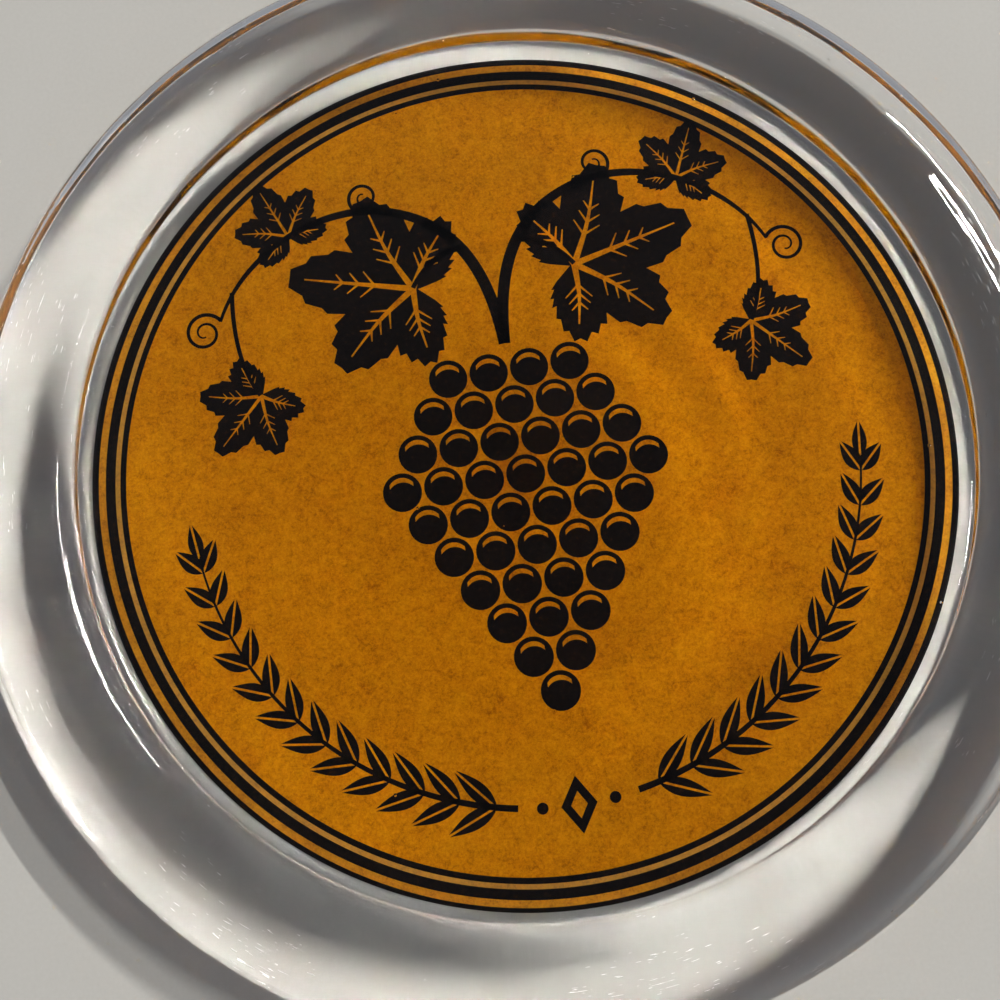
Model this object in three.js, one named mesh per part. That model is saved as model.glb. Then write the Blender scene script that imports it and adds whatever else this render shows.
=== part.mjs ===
// A heavy pressed-glass coaster: a round dish of clear glass with a flat well and a broad rounded rim,
// a printed paper label bonded under the flat bottom of the glass, and a felt pad bonded under the label.
// Millimetres, +Z up. The part stands on z = 0 and is centred on the z axis.

import * as THREE from 'three';

// Glass dish, from the middle of the well outwards
const WELL_FLOOR_DIAMETER = 104.4;  // flat floor that a bottle or a tumbler stands on
const WELL_FILLET_RADIUS = 1.2;     // hollow round where the floor turns up into the wall of the well
const WELL_WALL_SLOPE = 76;         // degrees, the steepest slope of the wall, where the fillet meets the crest
const CREST_RADIUS = 3.4;           // round over the crest on its inner side
const SHOULDER_RUN = 10.5;          // from the crest out to the widest line of the rim
const SHOULDER_FULLNESS = 2.2;      // 2 makes the shoulder a plain ellipse, more makes it squarer
const FOOT_INSET = 1.5;             // from the widest line back in to the edge of the flat bottom
const FOOT_FULLNESS = 2.2;          // the same for the round below the widest line

// Glass dish, heights
const FLOOR_THICKNESS = 7.6;        // glass between the label and the well
const WIDEST_LINE_DROP = 4.1;       // from the crest down to the widest line

// Layers under the glass
const FELT_THICKNESS = 0.5;
const LABEL_THICKNESS = 0.2;
const ADHESIVE_THICKNESS = 0.08;
const LABEL_OVERLAP = 1.9;          // the label reaches this far out past the edge of the floor of the well
const ADHESIVE_MARGIN = 0.3;        // each film of adhesive ends this far inside the edge of the label
const FELT_MARGIN = 0.4;            // the felt ends this far inside the edge of the label

// Facets
const TURN_STEPS = 96;
const ARC_STEPS = 10;

// Heights, from the table upwards
const padAdhesiveZ = FELT_THICKNESS;
const labelZ = padAdhesiveZ + ADHESIVE_THICKNESS;
const labelAdhesiveZ = labelZ + LABEL_THICKNESS;
const bottomZ = labelAdhesiveZ + ADHESIVE_THICKNESS;
const floorZ = bottomZ + FLOOR_THICKNESS;

// The wall of the well is two arcs that meet at the steepest slope
const steepest = THREE.MathUtils.degToRad(WELL_WALL_SLOPE);
const wallRun = (WELL_FILLET_RADIUS + CREST_RADIUS) * Math.sin(steepest);
const wellDepth = (WELL_FILLET_RADIUS + CREST_RADIUS) * (1 - Math.cos(steepest));
const crestZ = floorZ + wellDepth;
const widestZ = crestZ - WIDEST_LINE_DROP;

// Radii, from the axis outwards
const floorRadius = WELL_FLOOR_DIAMETER / 2;
const crestRadius = floorRadius + wallRun;
const widestRadius = crestRadius + SHOULDER_RUN;
const bottomRadius = widestRadius - FOOT_INSET;
const labelRadius = floorRadius + LABEL_OVERLAP;
const adhesiveRadius = labelRadius - ADHESIVE_MARGIN;
const feltRadius = labelRadius - FELT_MARGIN;

const glass = new THREE.MeshStandardMaterial({ color: 0xdfe5e2, roughness: 0.05, metalness: 0 });
const amberPaper = new THREE.MeshStandardMaterial({ color: 0xbe780f, roughness: 0.7, metalness: 0 });
const clearAdhesive = new THREE.MeshStandardMaterial({ color: 0xf0ead8, roughness: 0.3, metalness: 0 });
const darkFelt = new THREE.MeshStandardMaterial({ color: 0x26221f, roughness: 0.95, metalness: 0 });

// Points on an arc about a centre (radius, z), angles in radians from the outward direction
function arc(centreR, centreZ, radius, from, to) {
  const points = [];
  for (let step = 0; step <= ARC_STEPS; step += 1) {
    const angle = from + (to - from) * (step / ARC_STEPS);
    points.push(new THREE.Vector2(
      centreR + radius * Math.cos(angle),
      centreZ + radius * Math.sin(angle),
    ));
  }
  return points;
}

// Points on a quarter of a full round about (radius, z), from its level end to its upright end at the side.
// The rise is negative for a quarter below the centre.
function quarter(centreR, centreZ, run, rise, fullness) {
  const points = [];
  for (let step = 0; step <= ARC_STEPS; step += 1) {
    const angle = (Math.PI / 2) * (step / ARC_STEPS);
    points.push(new THREE.Vector2(
      centreR + run * Math.sin(angle) ** (2 / fullness),
      centreZ + rise * Math.max(Math.cos(angle), 0) ** (2 / fullness),
    ));
  }
  return points;
}

// Turns an outline of (radius, z) points about the z axis
function turned(outline) {
  const geometry = new THREE.LatheGeometry(outline, TURN_STEPS);
  geometry.rotateX(Math.PI / 2);
  return geometry;
}

function named(name, geometry, material) {
  const mesh = new THREE.Mesh(geometry, material);
  mesh.name = name;
  return mesh;
}

// Outer side of the rim from the flat bottom up to the crest: two quarter rounds that meet at the widest line
function outerSide() {
  const lower = quarter(bottomRadius, widestZ, FOOT_INSET, bottomZ - widestZ, FOOT_FULLNESS);
  const upper = quarter(crestRadius, widestZ, SHOULDER_RUN, WIDEST_LINE_DROP, SHOULDER_FULLNESS);
  return [...lower, ...upper.reverse().slice(1)];
}

// Wall of the well from the crest down to the floor
function wellWall() {
  const upright = Math.PI / 2;
  const overCrest = arc(crestRadius, crestZ - CREST_RADIUS, CREST_RADIUS, upright, upright + steepest);
  const intoFloor = arc(floorRadius, floorZ + WELL_FILLET_RADIUS, WELL_FILLET_RADIUS, steepest - upright, -upright);
  return [...overCrest.slice(1), ...intoFloor.slice(1)];
}

function glassDish() {
  const outline = [
    new THREE.Vector2(0, bottomZ),
    ...outerSide(),
    ...wellWall(),
    new THREE.Vector2(0, floorZ),
  ];
  return named('glass_dish', turned(outline), glass);
}

// A flat round layer between two heights
function layer(name, radius, lowZ, highZ, material) {
  const outline = [
    new THREE.Vector2(0, lowZ),
    new THREE.Vector2(radius, lowZ),
    new THREE.Vector2(radius, highZ),
    new THREE.Vector2(0, highZ),
  ];
  return named(name, turned(outline), material);
}

const coaster = new THREE.Group();
coaster.name = 'coaster';
coaster.add(
  glassDish(),
  layer('label_adhesive', adhesiveRadius, labelAdhesiveZ, bottomZ, clearAdhesive),
  layer('printed_label', labelRadius, labelZ, labelAdhesiveZ, amberPaper),
  layer('pad_adhesive', adhesiveRadius, padAdhesiveZ, labelZ, clearAdhesive),
  layer('felt_pad', feltRadius, 0, padAdhesiveZ, darkFelt),
);

export default coaster;
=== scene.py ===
"""Looks of a glass coaster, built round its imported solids. Metres, in the part's own frame."""
import math

import bmesh
import bpy
from mathutils import Matrix, Vector, noise
from mathutils.geometry import delaunay_2d_cdt


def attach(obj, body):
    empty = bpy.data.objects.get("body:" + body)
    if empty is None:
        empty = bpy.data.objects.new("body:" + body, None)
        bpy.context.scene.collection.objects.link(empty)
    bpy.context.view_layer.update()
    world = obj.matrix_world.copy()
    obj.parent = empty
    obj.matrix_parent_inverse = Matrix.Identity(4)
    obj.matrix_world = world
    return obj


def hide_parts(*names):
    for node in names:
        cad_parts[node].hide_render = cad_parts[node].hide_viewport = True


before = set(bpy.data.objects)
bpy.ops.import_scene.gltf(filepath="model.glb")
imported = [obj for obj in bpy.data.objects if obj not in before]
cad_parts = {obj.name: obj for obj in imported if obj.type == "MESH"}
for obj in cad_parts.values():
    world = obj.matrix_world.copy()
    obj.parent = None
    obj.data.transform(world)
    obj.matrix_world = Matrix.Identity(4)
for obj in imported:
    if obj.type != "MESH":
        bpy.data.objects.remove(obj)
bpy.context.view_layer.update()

scene = bpy.context.scene
MM = 0.001
FULL_TURN = 2 * math.pi
QUARTER_TURN = math.pi / 2

# Sizes of the part in millimetres, as in its source
FLOOR_RADIUS = 52.2
FILLET = 1.2
CREST = 3.4
SLOPE = math.radians(76)
SHOULDER_RUN = 10.5
SHOULDER_FULLNESS = 2.2
FOOT_INSET = 1.5
FOOT_FULLNESS = 2.2
FLOOR_THICKNESS = 7.6
WIDEST_DROP = 4.1
FELT = 0.5
PAPER = 0.2
FILM = 0.08
LABEL_OVERLAP = 1.9
FILM_MARGIN = 0.3
FELT_MARGIN = 0.4

LABEL_RADIUS = FLOOR_RADIUS + LABEL_OVERLAP
FILM_RADIUS = LABEL_RADIUS - FILM_MARGIN
FELT_RADIUS = LABEL_RADIUS - FELT_MARGIN
PAPER_Z = FELT + FILM
PRINT_Z = PAPER_Z + PAPER
BOTTOM_Z = PRINT_Z + FILM
FLOOR_Z = BOTTOM_Z + FLOOR_THICKNESS
CREST_Z = FLOOR_Z + (FILLET + CREST) * (1 - math.cos(SLOPE))
WIDEST_Z = CREST_Z - WIDEST_DROP
CREST_R = FLOOR_RADIUS + (FILLET + CREST) * math.sin(SLOPE)
WIDEST_R = CREST_R + SHOULDER_RUN
FOOT_R = WIDEST_R - FOOT_INSET

# Steps round the axis, and along each curve of the glass
TURN_STEPS = 288
FELT_TURN_STEPS = 480
FOOT_STEPS = 30
SHOULDER_STEPS = 36
CREST_STEPS = 24
FILLET_STEPS = 20


# Points in millimetres

def polar(x, y, reach, angle):
    """The point at that distance and angle from (x, y)."""
    return (x + reach * math.cos(angle), y + reach * math.sin(angle))


def arc(x, y, radius, start, end, steps):
    return [polar(x, y, radius, start + (end - start) * i / steps) for i in range(steps + 1)]


def circle(x, y, radius, steps=28):
    return [polar(x, y, radius, FULL_TURN * i / steps) for i in range(steps)]


def quarter(r, z, run, rise, fullness, steps):
    """A quarter round about (r, z) from its level end to its upright end at the side."""
    points = []
    for i in range(steps + 1):
        turn = QUARTER_TURN * i / steps
        across = math.sin(turn) ** (2 / fullness)
        along = max(math.cos(turn), 0) ** (2 / fullness)
        points.append((r + run * across, z + rise * along))
    return points


def bezier(a, b, c, d, steps=24):
    """Points of a curve from a to d that b and c pull at."""
    points = []
    for i in range(steps + 1):
        t = i / steps
        s = 1 - t
        pulls = (s ** 3, a), (3 * s * s * t, b), (3 * s * t * t, c), (t ** 3, d)
        points.append(tuple(sum(pull * point[k] for pull, point in pulls) for k in (0, 1)))
    return points


# Mesh helpers

def finish_mesh(name, bm, smooth=True, sharp=35):
    """Makes a piece of a bmesh, with its edges sharp above that angle."""
    bmesh.ops.recalc_face_normals(bm, faces=bm.faces[:])
    for face in bm.faces:
        face.smooth = smooth
    for edge in bm.edges:
        edge.smooth = edge.calc_face_angle(0) < math.radians(sharp)
    mesh = bpy.data.meshes.new(name)
    bm.to_mesh(mesh)
    bm.free()
    piece = bpy.data.objects.new(name, mesh)
    scene.collection.objects.link(piece)
    return piece


def lathe(outline, steps, shape=None):
    """A bmesh turned about the z axis from (radius, z) points in mm that start and end on the axis."""
    bm = bmesh.new()
    rings = []
    for r, z in outline:
        if r == 0:
            rings.append([bm.verts.new((0, 0, z * MM))])
            continue
        ring = []
        for x, y in circle(0, 0, r, steps):
            point = Vector((x, y, z))
            ring.append(bm.verts.new((shape(point) if shape else point) * MM))
        rings.append(ring)
    for low, high in zip(rings, rings[1:]):
        for i in range(steps):
            j = (i + 1) % steps
            quad = [low[i % len(low)], low[j % len(low)], high[j % len(high)], high[i % len(high)]]
            bm.faces.new(list(dict.fromkeys(quad)))
    return bm


# Material helpers

def material(name):
    made = bpy.data.materials.new(name)
    made.use_nodes = True
    return made, made.node_tree, made.node_tree.nodes["Principled BSDF"]


def node(tree, kind, links=(), **settings):
    """A node with its settings, then values and links for its inputs by name or number."""
    made = tree.nodes.new("ShaderNode" + kind)
    for key, value in settings.items():
        setattr(made, key, value)
    for key, value in dict(links).items():
        if isinstance(value, bpy.types.NodeSocket):
            tree.links.new(value, made.inputs[key])
        else:
            made.inputs[key].default_value = value
    return made


def object_place(tree):
    return node(tree, "TexCoord").outputs["Object"]


def maths(tree, operation, a, b):
    return node(tree, "Math", {0: a, 1: b}, operation=operation).outputs[0]


def weighted(tree, *parts):
    """The sum of some values, each times its weight."""
    total = maths(tree, "MULTIPLY", *parts[0])
    for value, weight in parts[1:]:
        total = maths(tree, "ADD", total, maths(tree, "MULTIPLY", value, weight))
    return total


def ramp(tree, value, stops, interpolation="LINEAR"):
    made = node(tree, "ValToRGB", {0: value})
    made.color_ramp.interpolation = interpolation
    elements = made.color_ramp.elements
    while len(elements) < len(stops):
        elements.new(0.5)
    for element, (place, colour) in zip(elements, stops):
        element.position = place
        element.color = (*colour, 1)
    return made.outputs[0]


def grey(value):
    return (value, value, value)


def clouds(tree, where, scale, detail, roughness, distortion=0.0):
    return node(tree, "TexNoise", {
        "Vector": where,
        "Scale": scale,
        "Detail": detail,
        "Roughness": roughness,
        "Distortion": distortion,
    }).outputs[0]


def mixed(tree, share, first, second):
    """A mix of a linked colour and a plain one."""
    made = node(tree, "Mix", data_type="RGBA")
    inputs = {socket.identifier: socket for socket in made.inputs}
    tree.links.new(share, inputs["Factor_Float"])
    tree.links.new(first, inputs["A_Color"])
    inputs["B_Color"].default_value = (*second, 1)
    return next(socket for socket in made.outputs if socket.identifier == "Result_Color")


def bump(tree, bsdf, height, strength, distance):
    made = node(tree, "Bump", {"Height": height, "Strength": strength, "Distance": distance})
    tree.links.new(made.outputs[0], bsdf.inputs["Normal"])


def flat_radius(tree, where):
    """Distance from the z axis."""
    plane = node(tree, "VectorMath", {0: where, 1: (1, 1, 0)}, operation="MULTIPLY").outputs[0]
    return node(tree, "VectorMath", {0: plane}, operation="LENGTH").outputs["Value"]


# Glass dish, with the film under it, so that no air lies between the glass and the print

FILM_DIP = 0.012            # the clear body reaches this far below the face of the paper
RIM_FINISH = (1, 4)         # the rim's ripples and scratches fade in between these distances from the floor


def glass_outline():
    foot = quarter(FOOT_R, WIDEST_Z, FOOT_INSET, BOTTOM_Z - WIDEST_Z, FOOT_FULLNESS, FOOT_STEPS)
    shoulder = quarter(CREST_R, WIDEST_Z, SHOULDER_RUN, WIDEST_DROP, SHOULDER_FULLNESS, SHOULDER_STEPS)
    crest = arc(CREST_R, CREST_Z - CREST, CREST, QUARTER_TURN, QUARTER_TURN + SLOPE, CREST_STEPS)
    fillet = arc(FLOOR_RADIUS, FLOOR_Z + FILLET, FILLET, SLOPE - QUARTER_TURN, -QUARTER_TURN, FILLET_STEPS)
    film_z = PRINT_Z - FILM_DIP
    film_edge = [(0, film_z), (FILM_RADIUS, film_z), (FILM_RADIUS, BOTTOM_Z)]
    return film_edge + foot + shoulder[::-1][1:] + crest[1:] + fillet[1:] + [(0, FLOOR_Z)]


def glass_material():
    """Clear glass with small seeds all over, and slow ripples and hairline scratches on its rim."""
    made, tree, bsdf = material("clear_pressed_glass")
    bsdf.inputs["Base Color"].default_value = (0.985, 0.992, 0.99, 1)
    bsdf.inputs["Transmission Weight"].default_value = 1.0
    bsdf.inputs["IOR"].default_value = 1.5
    where = object_place(tree)
    from_axis = flat_radius(tree, where)
    parts = node(tree, "SeparateXYZ", {0: where}).outputs
    turn = maths(tree, "ARCTAN2", parts["Y"], parts["X"])

    def unrolled(across, along, up):
        """The rim laid out straight, with the three directions stretched by these factors."""
        return node(tree, "CombineXYZ", {
            0: maths(tree, "MULTIPLY", from_axis, across),
            1: maths(tree, "MULTIPLY", turn, along),
            2: maths(tree, "MULTIPLY", parts["Z"], up),
        }).outputs[0]

    on_rim = node(tree, "MapRange", {
        "Value": from_axis,
        "From Min": (FLOOR_RADIUS + RIM_FINISH[0]) * MM,
        "From Max": (FLOOR_RADIUS + RIM_FINISH[1]) * MM,
    }).outputs[0]
    waves = clouds(tree, unrolled(across=700, along=2.2, up=300), scale=1.0, detail=2, roughness=0.5)
    ripple = maths(tree, "MULTIPLY", waves, on_rim)
    from_seed = node(tree, "TexVoronoi", {"Vector": where, "Scale": 230.0}).outputs["Distance"]
    nearness = {"Value": from_seed, "From Min": 0.05, "From Max": 0.0}
    dimple = node(tree, "MapRange", nearness, interpolation_type="SMOOTHSTEP").outputs[0]
    bump(tree, bsdf, weighted(tree, (ripple, 1.0), (dimple, 1.5)), strength=1.0, distance=0.03 * MM)

    lines = clouds(tree, unrolled(across=7000, along=30, up=2500), scale=1.0, detail=1, roughness=0.5)
    hairline = ramp(tree, lines, [(0.66, grey(0.0)), (0.72, grey(1.0))])
    patches = clouds(tree, where, scale=60, detail=2, roughness=0.5)
    handled = ramp(tree, patches, [(0.48, grey(0.0)), (0.6, grey(1.0))])
    scratches = maths(tree, "MULTIPLY", maths(tree, "MULTIPLY", hairline, handled), on_rim)
    tree.links.new(maths(tree, "MULTIPLY", scratches, 0.3), bsdf.inputs["Roughness"])
    return made


glass = finish_mesh("glass_dish_clear", lathe(glass_outline(), TURN_STEPS))
glass.data.materials.append(glass_material())
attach(glass, "root")
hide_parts("glass_dish", "label_adhesive")

# Paper label

# From inside to outside: black, gap, black, gap, black. Shares of the label's radius.
RING_EDGES = [0.9215, 0.9352, 0.9461, 0.9688, 0.9847, 1.0]
PAPER_BEVEL = 0.06
FADED = (0.36, 0.42, 0.18)


def paper_outline():
    inner = LABEL_RADIUS - PAPER_BEVEL
    low_edge = [(inner, PAPER_Z), (LABEL_RADIUS, PAPER_Z + PAPER_BEVEL)]
    high_edge = [(LABEL_RADIUS, PRINT_Z - PAPER_BEVEL), (inner, PRINT_Z)]
    return [(0, PAPER_Z), *low_edge, *high_edge, (0, PRINT_Z)]


def paper_material():
    """Amber parchment, mottled at three scales and a little faded between the rings."""
    made, tree, bsdf = material("amber_parchment")
    where = object_place(tree)
    large = clouds(tree, where, scale=150, detail=5, roughness=0.6)
    middle = clouds(tree, where, scale=900, detail=5, roughness=0.7, distortion=0.5)
    fine = clouds(tree, where, scale=2600, detail=4, roughness=0.85)
    amber = ramp(tree, weighted(tree, (large, 0.15), (middle, 0.4), (fine, 0.45)), [
        (0.39, (0.37, 0.12, 0.001)),
        (0.47, (0.61, 0.222, 0.0012)),
        (0.53, (0.695, 0.27, 0.0015)),
        (0.61, (0.8, 0.34, 0.004)),
    ])
    place = maths(tree, "DIVIDE", flat_radius(tree, where), LABEL_RADIUS * MM)
    fading = ramp(tree, place, [
        (0.0, grey(0.0)),
        (RING_EDGES[0], grey(0.25)),
        (RING_EDGES[2], grey(0.08)),
    ], "CONSTANT")
    tree.links.new(mixed(tree, fading, amber, FADED), bsdf.inputs["Base Color"])
    bsdf.inputs["Roughness"].default_value = 0.8
    bsdf.inputs["Specular IOR Level"].default_value = 0.0
    bump(tree, bsdf, middle, strength=0.15, distance=0.05 * MM)
    return made


paper = finish_mesh("label_paper_disc", lathe(paper_outline(), TURN_STEPS))
paper.data.materials.append(paper_material())
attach(paper, "root")
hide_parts("printed_label")

# Print: thin closed films of ink, the same on the left and the right

INK_LOW = 0.001             # the ink lies between these heights above the face of the paper
INK_HIGH = 0.008
RING_INSET = 0.01           # each ring ends this far inside its outer edge
ink = bmesh.new()


def film(points, faces):
    """A thin closed film of ink from flat points in mm and the faces between them."""
    low = [ink.verts.new((x * MM, y * MM, (PRINT_Z + INK_LOW) * MM)) for x, y in points]
    high = [ink.verts.new((x * MM, y * MM, (PRINT_Z + INK_HIGH) * MM)) for x, y in points]
    for face in faces:
        ink.faces.new([high[i] for i in face])
        ink.faces.new([low[i] for i in reversed(face)])
    edges = dict.fromkeys(pair for face in faces for pair in zip(face, face[1:] + face[:1]))
    for a, b in edges:
        if (b, a) not in edges:
            ink.faces.new([low[a], low[b], high[b], high[a]])


def both(points, faces):
    """A film of ink and its mirror image."""
    film(points, faces)
    film([(-x, y) for x, y in points], [list(reversed(face)) for face in faces])


def printed(shapes, bare=(), draw=both):
    """Ink over the given outlines, with the bare outlines left out."""
    points, outlines = [], []
    for outline in [*shapes, *bare]:
        area = sum(a[0] * b[1] - a[1] * b[0] for a, b in zip(outline, outline[1:] + outline[:1]))
        outlines.append(list(range(len(points), len(points) + len(outline))))
        points += [Vector(p) for p in (outline if area > 0 else outline[::-1])]
    spots, _, triangles, _, _, owners = delaunay_2d_cdt(points, [], outlines, 1, 1e-5)
    faces = []
    for triangle, owner in zip(triangles, owners):
        if owner and max(owner) < len(shapes):
            (ax, ay), (bx, by), (cx, cy) = (spots[i] for i in triangle)
            turn = (bx - ax) * (cy - ay) - (by - ay) * (cx - ax)
            faces.append(list(triangle) if turn > 0 else list(reversed(triangle)))
    used = sorted({i for face in faces for i in face})
    place = {old: new for new, old in enumerate(used)}
    draw([tuple(spots[i]) for i in used], [[place[i] for i in face] for face in faces])


def ribbon(path, widths):
    """Outline of a line along a path, whose width runs through the given values from end to end."""
    left, right = [], []
    for i, (x, y) in enumerate(path):
        ax, ay = path[max(i - 1, 0)]
        bx, by = path[min(i + 1, len(path) - 1)]
        size = math.hypot(bx - ax, by - ay) or 1
        t = i / (len(path) - 1) * (len(widths) - 1)
        k = min(int(t), len(widths) - 2)
        half = (widths[k] + (widths[k + 1] - widths[k]) * (t - k)) / 2
        left.append((x - (by - ay) / size * half, y + (bx - ax) / size * half))
        right.append((x + (by - ay) / size * half, y - (bx - ax) / size * half))
    return right + left[::-1]


def ring(outer, inner):
    n = TURN_STEPS
    points = circle(0, 0, outer, n) + circle(0, 0, inner, n)
    film(points, [[i, (i + 1) % n, n + (i + 1) % n, n + i] for i in range(n)])


for outer, inner in ((5, 4), (3, 2), (1, 0)):
    ring(LABEL_RADIUS * RING_EDGES[outer] - RING_INSET, LABEL_RADIUS * RING_EDGES[inner])

# A bunch of grapes: dark berries, each with a bare glint

GRAPE = 2.45
GRAPE_STEP = GRAPE * 2.12
ROW_DROP = GRAPE_STEP * 0.866
TOP_ROW_Y = 12.0
GRAPES_IN_ROWS = (4, 5, 6, 7, 6, 5, 4, 3, 2, 1)


def glint(x, y, size):
    """A sickle near the top of a berry."""
    outer = arc(x, y, size * 0.76, math.radians(38), math.radians(142), steps=12)
    inner = arc(x, y - size * 0.3, size * 0.82, math.radians(138), math.radians(42), steps=12)
    return outer + inner


for row, count in enumerate(GRAPES_IN_ROWS):
    y = TOP_ROW_Y - row * ROW_DROP
    for i in range(count // 2, count):
        x = (i - (count - 1) / 2) * GRAPE_STEP
        printed([circle(x, y, GRAPE)], [glint(x, y, GRAPE)], both if x > 0 else film)

# Vine leaves: dark, with bare veins. Angles from the tip and reaches as shares of the leaf's size.

LOBES = [(0.0, 1.0), (0.95, 0.86), (1.9, 0.62)]
LOBE_END = (2.75, 0.2)
STALK_NOTCH = (math.pi, 0.04)
TOOTH = 0.05
TOOTH_STEPS = 6
VALLEY_TURN = 0.46          # from each lobe on to the valley after it
VALLEY_REACH = 0.58         # of the first valley
VALLEY_DROP = 0.1           # each valley reaches this much less than the one before
VEINS = ((0.0, 0.88), (0.95, 0.74), (-0.95, 0.74), (1.9, 0.5), (-1.9, 0.5))
VEIN_BEND = 0.1
VEIN_STEPS = 16
VEIN_WIDTHS = (0.05, 0.03, 0.012)
SIDE_VEIN_PLACES = (5, 8, 11)
SIDE_VEIN_REACH = 0.2
SIDE_VEIN_TAPER = 20
SIDE_VEIN_WIDTHS = (0.02, 0.008)
SIDE_VEIN_LEAN = 0.8


def leaf_outline(size, turn, x, y):
    """A five-lobed leaf with a toothed edge, its stalk at (x, y), pointing along the turn."""
    half = []
    for k, (angle, reach) in enumerate(LOBES):
        valley = (angle + VALLEY_TURN, VALLEY_REACH - VALLEY_DROP * k)
        after = LOBES[k + 1] if k + 1 < len(LOBES) else LOBE_END
        for (a0, r0), (a1, r1) in (((angle, reach), valley), (valley, after)):
            for s in range(TOOTH_STEPS):
                t = s / TOOTH_STEPS
                rise = t ** 0.8 if r1 > r0 else t ** 1.25
                half.append((a0 + (a1 - a0) * t, r0 + (r1 - r0) * rise + TOOTH * (s % 2)))
    half.append(LOBE_END)
    mirrored = [(-angle, reach) for angle, reach in half[:0:-1]]
    return [polar(x, y, size * reach, turn - angle) for angle, reach in [*half, STALK_NOTCH, *mirrored]]


def leaf(size, turn, x, y):
    veins = []
    for angle, reach in VEINS:
        direction = turn - angle
        bend = direction + VEIN_BEND * (angle > 0) - VEIN_BEND * (angle < 0)
        middle = polar(x, y, size * reach * 0.5, bend)
        tip = polar(x, y, size * reach, direction)
        vein = bezier((x, y), middle, middle, tip, VEIN_STEPS)
        veins.append(ribbon(vein, [width * size for width in VEIN_WIDTHS]))
        for k in SIDE_VEIN_PLACES:
            px, py = vein[k]
            far = size * SIDE_VEIN_REACH * (1 - k / SIDE_VEIN_TAPER)
            for lean in (SIDE_VEIN_LEAN, -SIDE_VEIN_LEAN):
                end = polar(px, py, far, direction + lean)
                middle = ((px + end[0]) / 2, (py + end[1]) / 2)
                veins.append(ribbon([(px, py), middle, end], [width * size for width in SIDE_VEIN_WIDTHS]))
    printed([leaf_outline(size, turn, x, y)], veins)


def curl(x, y, size, start, turns, hand=1, steps=60):
    """A tendril that winds in from (x, y) to a fifth of its size."""
    cx, cy = polar(x, y, -size, start)
    points = []
    for i in range(steps + 1):
        t = i / steps
        points.append(polar(cx, cy, size * (1 - 0.8 * t), start + hand * turns * FULL_TURN * t))
    return points


leaf(size=16.0, turn=math.radians(14), x=10.5, y=24.5)
leaf(size=9.0, turn=math.radians(-46), x=31.5, y=13.5)
leaf(size=8.0, turn=math.radians(66), x=25.5, y=34.0)

# The cane that the bunch hangs from, the stalks of two leaves and two tendrils

CANE_TOP = (13.0, 35.5)
cane = bezier((0.0, 15.5), (0.6, 26.0), (4.0, 33.0), CANE_TOP)
cane += bezier(CANE_TOP, (22.0, 37.5), (32.0, 32.0), (35.5, 24.0))[1:]
large_stalk = bezier((3.4, 29.0), (6.0, 29.0), (8.5, 27.5), (10.5, 24.6))
side_stalk = bezier((33.6, 27.6), (34.2, 22.0), (33.6, 17.0), (31.6, 13.6))
end_tendril = curl(35.4, 24.1, size=2.6, start=math.radians(150), turns=1.7, hand=-1)
top_tendril = curl(14.0, 35.7, size=2.3, start=math.radians(-120), turns=1.6)
printed([ribbon(cane, [1.5, 1.5, 1.1, 0.8, 0.4])])
printed([ribbon(large_stalk, [0.9, 0.6])])
printed([ribbon(side_stalk, [0.6, 0.5])])
for tendril in (end_tendril, top_tendril):
    printed([ribbon(tendril, [0.5, 0.4, 0.2])])

# Sprays of laurel along the lower edge, and a lozenge between two dots

SPRAY_RADIUS = 42.0
SPRAY_START = math.radians(-80)
SPRAY_END = math.radians(-8)
SPRAY_PAIRS = 12
SPRAY_LEAN = 0.62
FIRST_PAIR = 0.6            # the first pair of leaves lies this share of a step along the stem
LAUREL_SIZE = 6.6
LAUREL_TAPER = 2.4          # the last pair is shorter than the first by nearly this much
LAUREL_WIDTH = 0.95
LAUREL_STEPS = 15
MIDRIB = 0.13               # half the bare line between the halves of a laurel leaf


def laurel_leaf(x, y, turn, size, wide):
    """An almond leaf in two halves, with the line between them left bare."""
    cos, sin = math.cos(turn), math.sin(turn)
    for side in (1, -1):
        half = [(0.0, side * MIDRIB)]
        for i in range(1, LAUREL_STEPS):
            t = i / LAUREL_STEPS
            half.append((size * t, side * (MIDRIB + wide * math.sin(math.pi * t ** 0.8))))
        half.append((size, side * MIDRIB))
        printed([[(x + px * cos - py * sin, y + px * sin + py * cos) for px, py in half]])


def lozenge(half_width, half_height):
    middle = -SPRAY_RADIUS
    return [(0, middle + half_height), (-half_width, middle), (0, middle - half_height), (half_width, middle)]


stem = arc(0, 0, SPRAY_RADIUS, SPRAY_START, SPRAY_END, steps=40)
printed([ribbon(stem, [0.8, 0.5, 0.25])])
for k in range(SPRAY_PAIRS):
    t = (k + FIRST_PAIR) / SPRAY_PAIRS
    angle = SPRAY_START + (SPRAY_END - SPRAY_START) * t
    x, y = polar(0, 0, SPRAY_RADIUS, angle)
    for lean in (-SPRAY_LEAN, SPRAY_LEAN):
        turn = angle + QUARTER_TURN + lean
        laurel_leaf(x, y, turn, size=LAUREL_SIZE - LAUREL_TAPER * t, wide=LAUREL_WIDTH)
laurel_leaf(*stem[-1], SPRAY_END + QUARTER_TURN, size=4.4, wide=0.8)
printed([lozenge(2.2, 3.4)], [lozenge(1.0, 1.6)], film)
printed([circle(4.4, -41.8, 0.7)])


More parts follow.
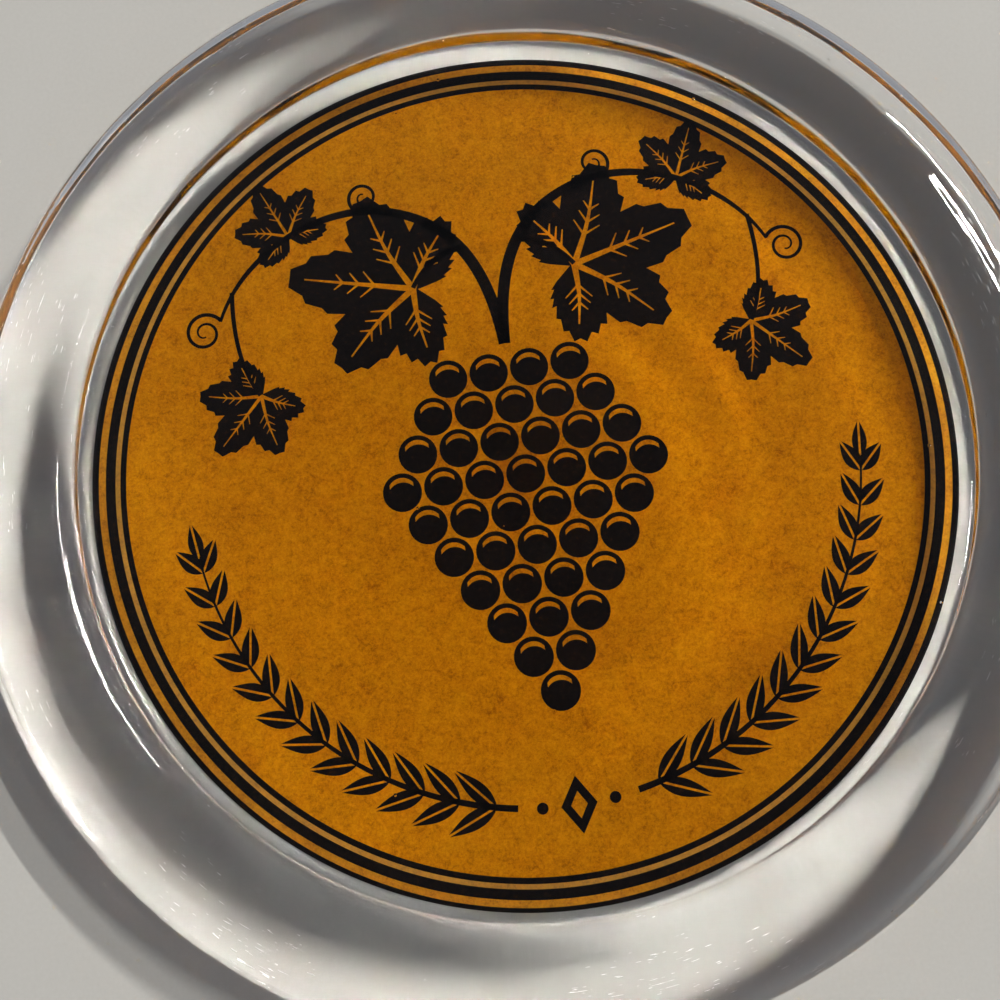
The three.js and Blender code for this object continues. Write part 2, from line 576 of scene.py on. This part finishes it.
def ink_material():
    """Black ink that is a little thin in places."""
    made, tree, bsdf = material("black_ink")
    thinness = clouds(tree, object_place(tree), scale=1500, detail=6, roughness=0.7)
    black = ramp(tree, thinness, [
        (0.3, (0.03, 0.012, 0.004)),
        (0.42, (0.011, 0.008, 0.007)),
        (0.62, (0.007, 0.006, 0.006)),
    ])
    tree.links.new(black, bsdf.inputs["Base Color"])
    bsdf.inputs["Roughness"].default_value = 0.7
    bsdf.inputs["Specular IOR Level"].default_value = 0.0
    return made


ink_piece = finish_mesh("label_print_ink", ink, smooth=False)
ink_piece.data.materials.append(ink_material())
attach(ink_piece, "root")

# Felt pad: a cut disc whose edge is a little uneven

# Inset and height of each point of the edge, from the lower face to the upper one
FELT_EDGE = [(0.2, 0.0), (0.07, 0.04), (0.0, 0.14), (0.0, 0.25), (0.0, 0.36), (0.07, 0.46), (0.2, FELT)]
FELT_FLAT = 30              # radius of the ring between the middle and the edge
FELT_TRIM = 0.1             # the uneven edge stays about this far inside the solid
FELT_WAVES = ((0.9, 0.05), (3.1, 0.03))     # waves per mm and depth


def felt_outline():
    edge = [(FELT_RADIUS - inset, z) for inset, z in FELT_EDGE]
    return [(0, 0.0), (FELT_FLAT, 0.0), *edge, (FELT_FLAT, FELT), (0, FELT)]


def felt_shape(point):
    """A point of the disc, moved by the unevenness of the cut. Both faces stay flat."""
    rough = sum(noise.noise(point * scale) * depth for scale, depth in FELT_WAVES)
    outward = Vector((point.x, point.y, 0)).normalized()
    lift = rough * 0.5 if 0 < point.z < FELT else 0.0
    return point + outward * (rough - FELT_TRIM) + Vector((0, 0, lift))


def felt_material():
    """Dense dark wool, with paler fibres."""
    made, tree, bsdf = material("dark_felt")
    where = object_place(tree)
    fibre = clouds(tree, where, scale=3200, detail=5, roughness=0.75, distortion=1.2)
    patch = clouds(tree, where, scale=260, detail=4, roughness=0.6)
    wool = ramp(tree, weighted(tree, (fibre, 0.75), (patch, 0.25)), [
        (0.3, (0.008, 0.007, 0.006)),
        (0.5, (0.022, 0.018, 0.016)),
        (0.7, (0.06, 0.052, 0.046)),
    ])
    tree.links.new(wool, bsdf.inputs["Base Color"])
    bsdf.inputs["Roughness"].default_value = 0.95
    bsdf.inputs["Sheen Weight"].default_value = 0.35
    bsdf.inputs["Sheen Roughness"].default_value = 0.5
    bump(tree, bsdf, fibre, strength=0.7, distance=0.2 * MM)
    return made


felt = finish_mesh("felt_pad_disc", lathe(felt_outline(), FELT_TURN_STEPS, felt_shape), sharp=80)
felt.data.materials.append(felt_material())
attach(felt, "root")
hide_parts("felt_pad")

# Film between the paper and the felt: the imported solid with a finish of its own


def film_material():
    """Clear film, with streaks of glue."""
    made, tree, bsdf = material("clear_film")
    streaks = clouds(tree, object_place(tree), scale=420, detail=3, roughness=0.5, distortion=0.8)
    glue = ramp(tree, streaks, [(0.35, (0.72, 0.66, 0.52)), (0.65, (0.86, 0.82, 0.7))])
    tree.links.new(glue, bsdf.inputs["Base Color"])
    bsdf.inputs["Roughness"].default_value = 0.3
    bump(tree, bsdf, streaks, strength=0.2, distance=0.05 * MM)
    return made


pad_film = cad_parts["pad_adhesive"]
pad_film.data.materials.clear()
pad_film.data.materials.append(film_material())

# Floor

TABLE_RADIUS = 1.0          # metres


def table_material():
    """Pale matt paint, a little uneven at a large and a small scale."""
    made, tree, bsdf = material("pale_table")
    where = object_place(tree)
    large = clouds(tree, where, scale=14, detail=4, roughness=0.55)
    small = clouds(tree, where, scale=1900, detail=3, roughness=0.6)
    paint = ramp(tree, weighted(tree, (large, 0.5), (small, 0.5)), [
        (0.3, (0.488, 0.478, 0.452)),
        (0.7, (0.535, 0.525, 0.5)),
    ])
    tree.links.new(paint, bsdf.inputs["Base Color"])
    bsdf.inputs["Roughness"].default_value = 0.85
    bsdf.inputs["Specular IOR Level"].default_value = 0.15
    return made


table = bmesh.new()
bmesh.ops.create_circle(table, cap_ends=True, segments=96, radius=TABLE_RADIUS)
floor = finish_mesh("table_top", table, smooth=False)
floor.data.materials.append(table_material())

# Camera: nearly plumb, from the lower side of the picture, which shows the label turned by a few degrees

IMAGE_TURN = math.radians(8.9)          # the label's reading direction rises by this much to the right
CAMERA_DISTANCE = 120.0
CAMERA_TILT = math.radians(7.79)
CAMERA_SIDE = math.radians(273.7)       # direction in the picture in which the camera stands
AXIS_PLACE = (3.01, 4.36)               # the dish's axis from the middle of the picture, at the table
PIXELS_PER_MM = 7.8
PICTURE = 1000
SENSOR = 36

image_right = Vector((math.cos(IMAGE_TURN), -math.sin(IMAGE_TURN), 0))
image_up = Vector((math.sin(IMAGE_TURN), math.cos(IMAGE_TURN), 0))


def direction(side, height):
    """The way to that side of the picture, counted from its right, and to that height above the table."""
    level = image_right * math.cos(side) + image_up * math.sin(side)
    return level * math.cos(height) + Vector((0, 0, math.sin(height)))


back = direction(CAMERA_SIDE, QUARTER_TURN - CAMERA_TILT)
up = (image_up - back * image_up.dot(back)).normalized()
target = -image_right * AXIS_PLACE[0] - image_up * AXIS_PLACE[1]
pose = Matrix((up.cross(back), up, back)).transposed().to_4x4()
pose.translation = (target + back * CAMERA_DISTANCE) * MM
camera_data = bpy.data.cameras.new("camera")
camera_data.sensor_width = SENSOR
camera_data.lens = SENSOR * PIXELS_PER_MM * CAMERA_DISTANCE / PICTURE
camera_data.clip_start = MM
camera = bpy.data.objects.new("camera", camera_data)
scene.collection.objects.link(camera)
camera.matrix_world = pose
scene.camera = camera

# Light: long narrow lamps from the upper right of the picture, and a soft room that is dark straight overhead

WARM_WHITE = (1.0, 0.975, 0.92)
LAMP_DISTANCE = 6.0                     # metres
BACKDROP = (0.62, 0.61, 0.59)


def lamp(name, side, height, length, width, light):
    """A level strip lamp in that direction of the picture, with its angles and its size in degrees.
    A white table below it is as bright as the light says."""
    toward = direction(math.radians(side), math.radians(height))
    data = bpy.data.lights.new(name, "AREA")
    data.shape = "RECTANGLE"
    data.size = LAMP_DISTANCE * math.radians(length)
    data.size_y = LAMP_DISTANCE * math.radians(width)
    data.energy = light * (math.pi * LAMP_DISTANCE) ** 2 / math.sin(math.radians(height))
    data.color = WARM_WHITE
    made = bpy.data.objects.new(name, data)
    scene.collection.objects.link(made)
    made.location = toward * LAMP_DISTANCE
    made.rotation_euler = toward.to_track_quat("Z", "Y").to_euler()


lamp("lamp_low", side=38, height=38.5, length=20, width=0.7, light=0.425)
lamp("lamp_middle", side=30, height=46.5, length=20, width=0.7, light=0.315)
lamp("lamp_left", side=4, height=52, length=9, width=0.5, light=0.03)


def cool(value):
    return (0.93 * value, 0.97 * value, 1.08 * value)


world = bpy.data.worlds.new("room")
scene.world = world
world.use_nodes = True
tree = world.node_tree
above = node(tree, "SeparateXYZ", {0: node(tree, "TexCoord").outputs["Generated"]}).outputs["Z"]
room = ramp(tree, above, [
    (0.0, BACKDROP),
    (0.2, BACKDROP),
    (0.4, cool(0.36)),
    (0.55, cool(0.34)),
    (0.8, cool(0.15)),
    (1.0, cool(0.04)),
])
tree.links.new(room, tree.nodes["Background"].inputs[0])

# Render settings that the light through the glass needs

scene.view_settings.view_transform = "Standard"
scene.cycles.use_guiding = True
scene.cycles.blur_glossy = 0.03
scene.cycles.sample_clamp_indirect = 0.0
